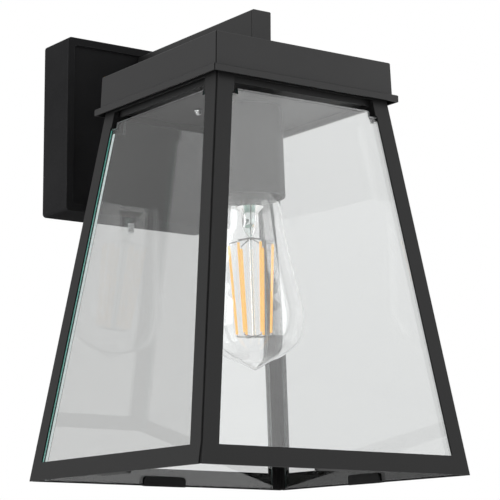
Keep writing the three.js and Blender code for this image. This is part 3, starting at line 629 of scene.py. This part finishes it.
def holder():
    """The lampholder's body, and the rolled screw shell inside it."""
    outline = [
        (5.5, -6.5), (15.5, -6.5), (18.4, -7.6), (19.5, -10.5), (19.5, -50.5), (14.6, -50.5), (14.6, -23.0),
        (3.2, -23.0), (3.2, -15.0), (5.5, -13.0),
    ]
    points, faces = turned(eased(list(reversed(outline)), 0.6), 96, closed=True)
    piece("holder_fine", placed(points, LAMP), faces, "lantern", "black_plastic", ["holder_body"])
    points, faces = threaded(14.2, 96, 6.5, 0.55, -48.9, 0.2)
    piece("shell_fine", placed(points, LAMP), faces, "lantern", "brass", ["screw_shell"])


NECK = 28.0  # from the tip contact to where the glass leaves the base
LENGTH = 143.7  # from the tip contact to the glass's tip
GLASS_WALL = 0.8


def bulb_outline():
    """(radius, distance from the tip contact) down the glass: neck, pear and drawn-out tip."""
    curve = through([
        (13.75, NECK + 1.8), (18.9, LENGTH - 105.3), (22.24, LENGTH - 85), (25.7, LENGTH - 66.3),
        (29.44, LENGTH - 49), (32.0, LENGTH - 33.8), (30.5, LENGTH - 22.3), (27.0, LENGTH - 15.3),
        (19.84, LENGTH - 9.8), (15.36, LENGTH - 7.3), (9.6, LENGTH - 5.1), (5.44, LENGTH - 2.8), (0, LENGTH),
    ], 8)
    return [(12.15, NECK - 5), (12.15, NECK + 0.2), (12.5, NECK + 0.8), *curve]


def bulb_shell():
    """The hollow glass: the outline, and the same line moved in by the wall's thickness."""
    outer = bulb_outline()
    inner = []
    for i, (r, d) in enumerate(outer):
        a, b = outer[max(i - 1, 0)], outer[min(i + 1, len(outer) - 1)]
        length = math.hypot(b[0] - a[0], b[1] - a[1])
        across, along = (b[1] - a[1]) / length, (b[0] - a[0]) / length
        inner.append((max(r - GLASS_WALL * across, 0), d + GLASS_WALL * along))
    inner[-1] = (0, LENGTH - 2.2)
    inner = [p for i, p in enumerate(inner) if p[0] > 0.4 or i == len(inner) - 1]
    profile = [(r, -d) for r, d in reversed(outer)] + [(r, -d) for r, d in inner]
    points, faces = turned(profile, 128)
    points = placed(points, BULB)
    piece("bulb_glass_fine", points, faces, "bulb", "clear_glass", ["bulb_glass"], BULB_GLASS, 60)


PINCH_FROM, PINCH_TO = 51, 61  # where the stem's tube is pressed flat


def bulb_stem():
    """The sealed flare, its tube pinched flat round the lead wires, and the rod between the filaments."""
    profile = through([
        (9.0, -40.6), (7.2, -42.4), (5.2, -45.2), (4.8, -48.5), (4.8, -51.5), (4.6, -53.6), (3.4, -56.4),
        (2.4, -58.2), (1.45, -59.6), (1.3, -61.5),
    ], 4)
    profile = [(0, -40), (8.6, -40), *profile, (1.3, -122.4), (1.6, -123.0), (1.5, -123.6), (0, -124.0)]
    points, faces = turned(profile, 48)
    squeezed = []
    for x, y, z in points:
        pinch = max(0.0, min(1.0, (-z - PINCH_FROM) / 3)) * max(0.0, min(1.0, (PINCH_TO + z) / 1.5))
        squeezed.append((x * (1 + 0.18 * pinch), y * (1 - 0.5 * pinch), z))
    squeezed = placed(squeezed, BULB)
    piece("stem_fine", squeezed, faces, "bulb", "clear_glass", ["bulb_stem"], BULB_GLASS, 60)


FIRST_TURN = -51  # degrees, of the first filament about the bulb's axis
UPPER_RING, LOWER_RING = (13.9, -63.2), (10.5, -122.4)  # radius and height of the filaments' ends
STICK, BEAD = 0.80, 0.035  # a filament's radius, and how far its beads stand out


def filament_ends(k):
    turn = math.radians(FIRST_TURN + 60 * k)
    return [Vector((radius * math.sin(turn), radius * math.cos(turn), height))
            for radius, height in (UPPER_RING, LOWER_RING)]


def filaments():
    """Six beaded sticks in a cone round the stem, each with a metal tab at both ends."""
    sticks = []
    tabs = []
    for k in range(6):
        top, low = filament_ends(k)
        along = (low - top).normalized()
        length = (low - top).length
        profile = [(0.0, -1.6), (0.55, -1.55), (0.72, -1.9), *[
            (STICK + BEAD * (-1) ** i, -2.2 - (length - 4.4) * i / 56) for i in range(57)
        ], (0.72, -length + 1.9), (0.55, -length + 1.55), (0.0, -length + 1.6)]
        points, faces = turned(profile, 20)
        turn = Vector((0, 0, -1)).rotation_difference(along)
        sticks.append(([tuple(turn @ Vector(p) + top) for p in points], faces))
        for end, way in ((top, 1), (low, -1)):
            path = [end + along * way * s for s in (0.35, 1.1, 1.9)]
            tabs.append(tube_along(path, 0.42, 12))
    points, faces = merged(*sticks)
    names = [f"filament_{k + 1}" for k in range(6)]
    piece("filaments_fine", placed(points, BULB), faces, "bulb", "phosphor", names)
    points, faces = merged(*tabs)
    piece("filament_tabs", placed(points, BULB), faces, "bulb", "nickel", [])


def bulb_base():
    """The metal base: its rolled thread, the skirt at the glass and the crown round the insulator."""
    thread = threaded(13.1, 96, 5.4, 0.75, -26.9, 0.3)
    hoop = [(12.8, -28.0), (13.1, -28.0), (13.1, -26.7), (12.75, -26.7)]
    skirt = turned(eased(hoop, 0.1), 96, closed=True)
    shoulder = [
        (12.3, -7.5), (12.9, -7.5), (12.6, -6.6), (9.5, -4.0), (8.6, -4.0), (8.6, -4.4), (12.0, -7.0),
    ]
    crown = turned(eased(shoulder, 0.15), 96, closed=True)
    points, faces = merged(thread, skirt, crown)
    piece("base_fine", placed(points, BULB), faces, "bulb", "nickel", ["bulb_base"])


def dome_nut(name):
    """A hexagon with chamfered rims and a dome below it."""
    low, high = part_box(name)
    middle = Matrix.Translation(((low.x + high.x) / 2, (low.y + high.y) / 2, high.z))
    corner, dome_radius, dome_height = 2.7, 2.3, 2.25
    points = []
    for height, share in ((0, 0.94), (-0.3, 1.0), (-1.6, 1.0), (-1.9, 0.93)):
        points += circle(corner * share, height, 6)
    faces = [*bands(3, 6), tuple(range(6)), tuple(reversed(range(18, 24)))]
    angles = (math.pi / 2 * i / 14 for i in range(14))
    dome = [(dome_radius * math.cos(a), -1.85 - dome_height * math.sin(a)) for a in angles]
    crown = turned([(0, -1.7), (dome_radius, -1.7), *dome, (0, -4.1)], 48)
    points, faces = merged((points, faces), crown)
    piece(name + "_fine", placed(points, middle), faces, "lantern", "steel", [name], sharp=40)


def fixing_screw():
    """The set screw under the wall plate: a threaded stud with a hexagon socket in its end."""
    low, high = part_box("plate_fixing_screw")
    spot = Matrix.Translation(((low.x + high.x) / 2, (low.y + high.y) / 2, low.z))
    length = (high.z - low.z) / MM
    rows = int(length / 0.1)
    radius, pitch, depth = 2.25, 0.7, 0.28
    points, segments = [], 40
    for k in range(rows + 1):
        height = pitch + (length - pitch) * k / rows
        for i in range(segments):
            a = 2 * math.pi * i / segments
            r = radius - depth * abs(((height / pitch - a / (2 * math.pi)) % 1) * 2 - 1)
            points.append((r * math.cos(a), r * math.sin(a), height))
    faces = bands(rows, segments)
    faces.append(tuple(range(rows * segments, (rows + 1) * segments)))
    start = len(points)
    round_end = [(1.9, 0.35, False), (1.65, 0.0, False)]
    socket = [(1.32, 0.0, True), (1.2, 0.25, True), (1.2, 2.2, True)]
    for radius, height, six_sided in (*round_end, *socket):
        for i in range(segments):
            a = 2 * math.pi * i / segments
            share = 1.0
            if six_sided:
                share = math.cos(math.pi / 6) / math.cos((a + math.pi / 6) % (math.pi / 3) - math.pi / 6)
            points.append((radius * share * math.cos(a), radius * share * math.sin(a), height))
    rings = [0, *[start + segments * n for n in range(len(round_end) + len(socket))]]
    for a, b in zip(rings, rings[1:]):
        faces += [(b + i, b + (i + 1) % segments, a + (i + 1) % segments, a + i) for i in range(segments)]
    faces.append(tuple(range(rings[-1], rings[-1] + segments)))
    piece("fixing_screw_fine", placed(points, spot), faces, "lantern", "steel", ["plate_fixing_screw"])


def corner_angles():
    """A folded strip of sheet inside each corner of the cage backs the slit where two frames meet."""
    bottom = CAGE_BOTTOM / MM
    bottom_half = (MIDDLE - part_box("frame_front")[0].y) / MM
    clear, leg, thick = 1.06, 4.2, 0.5
    section = [(0, 0), (leg, 0), (leg, thick), (thick, thick), (thick, leg), (0, leg)]
    count = len(section)
    heights = (4.0, -60.0, -120.0, -180.0, bottom + 0.1)
    strips = []
    for sx, sy in ((-1, -1), (1, -1), (1, 1), (-1, 1)):
        points = []
        for z in heights:
            half = bottom_half - (z - bottom) * math.tan(LEAN) - clear
            points += [(sx * (half - a), MIDDLE / MM + sy * (half - b), z) for a, b in section]
        faces = bands(len(heights) - 1, count)
        faces += [tuple(range(count)), tuple(reversed(range(len(points) - count, len(points))))]
        if sx * sy < 0:
            faces = [tuple(reversed(face)) for face in faces]
        strips.append((points, faces))
    points, faces = merged(*strips)
    points = placed(points, Matrix.Identity(4))
    piece("corner_angles", points, faces, "lantern", "powder_black", [], FRAME_COAT)


sleeve()
holder()
bulb_shell()
bulb_stem()
filaments()
bulb_base()
dome_nut("dome_nut_left")
dome_nut("dome_nut_right")
fixing_screw()
corner_angles()


# ---- studio ---------------------------------------------------------------------------------------------
FLOOR, FLOOR_HALF = -0.95, 4.0  # height and half width in metres
AIM = (cad_low + cad_high) / 2
STUDIO_LEVEL = 0.68  # how bright the surroundings light the lantern; the camera sees them white


def studio_floor():
    """A pale painted sweep, well below the hanging lantern."""
    steps = 24
    points = [(-FLOOR_HALF + 2 * FLOOR_HALF * i / steps, -FLOOR_HALF + 2 * FLOOR_HALF * j / steps, FLOOR)
              for j in range(steps + 1) for i in range(steps + 1)]
    row = steps + 1
    faces = [(j * row + i, j * row + i + 1, (j + 1) * row + i + 1, (j + 1) * row + i)
             for j in range(steps) for i in range(steps)]
    mesh = bpy.data.meshes.new("floor")
    mesh.from_pydata(points, [], faces)
    f = Finish("floor", Specular_IOR_Level=0.2)
    cloud = f.noise(3, 3)
    f.feed(f.tones(cloud, (0.3, (0.86, 0.86, 0.86)), (0.7, (0.9, 0.9, 0.895))), "Base Color")
    f.feed(f.ranged(cloud, 0.7, 0.8), "Roughness")
    mesh.materials.append(f.material)
    made = bpy.data.objects.new("floor", mesh)
    scene.collection.objects.link(made)


def softbox(name, direction, distance, width, height, radiance, foot=1.0):
    """A rectangular soft light that faces the lantern from a direction, dimmer towards its foot."""
    light = bpy.data.lights.new(name, "AREA")
    light.shape = "RECTANGLE"
    light.size, light.size_y = width, height
    light.energy = radiance * math.pi * width * height
    if foot != 1.0:
        light.use_nodes = True
        graded = light.node_tree
        across = graded.nodes.new("ShaderNodeSeparateXYZ")
        spot = graded.nodes.new("ShaderNodeNewGeometry")
        graded.links.new(spot.outputs["Parametric"], across.inputs[0])
        fade = graded.nodes.new("ShaderNodeMapRange")
        fade.inputs["From Min"].default_value, fade.inputs["From Max"].default_value = 0.35, 0.75
        fade.inputs["To Min"].default_value, fade.inputs["To Max"].default_value = foot, 1.0
        graded.links.new(across.outputs["Y"], fade.inputs["Value"])
        graded.links.new(fade.outputs["Result"], graded.nodes["Emission"].inputs["Strength"])
    made = bpy.data.objects.new(name, light)
    scene.collection.objects.link(made)
    way = Vector(direction).normalized()
    turn = way.to_track_quat("Z", "Y").to_matrix().to_4x4()
    made.matrix_world = Matrix.Translation(AIM + way * distance) @ turn
    made.visible_camera = False


world = bpy.data.worlds.new("studio")
scene.world = world
world.use_nodes = True
tree = world.node_tree
sky = tree.nodes["Background"]
seen = tree.nodes.new("ShaderNodeLightPath")
level = tree.nodes.new("ShaderNodeMapRange")
level.inputs["To Min"].default_value = STUDIO_LEVEL
level.inputs["To Max"].default_value = 1.0
tree.links.new(seen.outputs["Is Camera Ray"], level.inputs["Value"])
tree.links.new(level.outputs["Result"], sky.inputs["Strength"])
sky.inputs["Color"].default_value = (1, 1, 1, 1)

studio_floor()
softbox("softbox_right", (0.56, -0.77, 0.16), distance=1.5, width=1.2, height=1.9, radiance=2.15, foot=0.5)
softbox("softbox_left", (-1.0, 0.2, 0.1), distance=1.5, width=1.1, height=1.1, radiance=4.0)
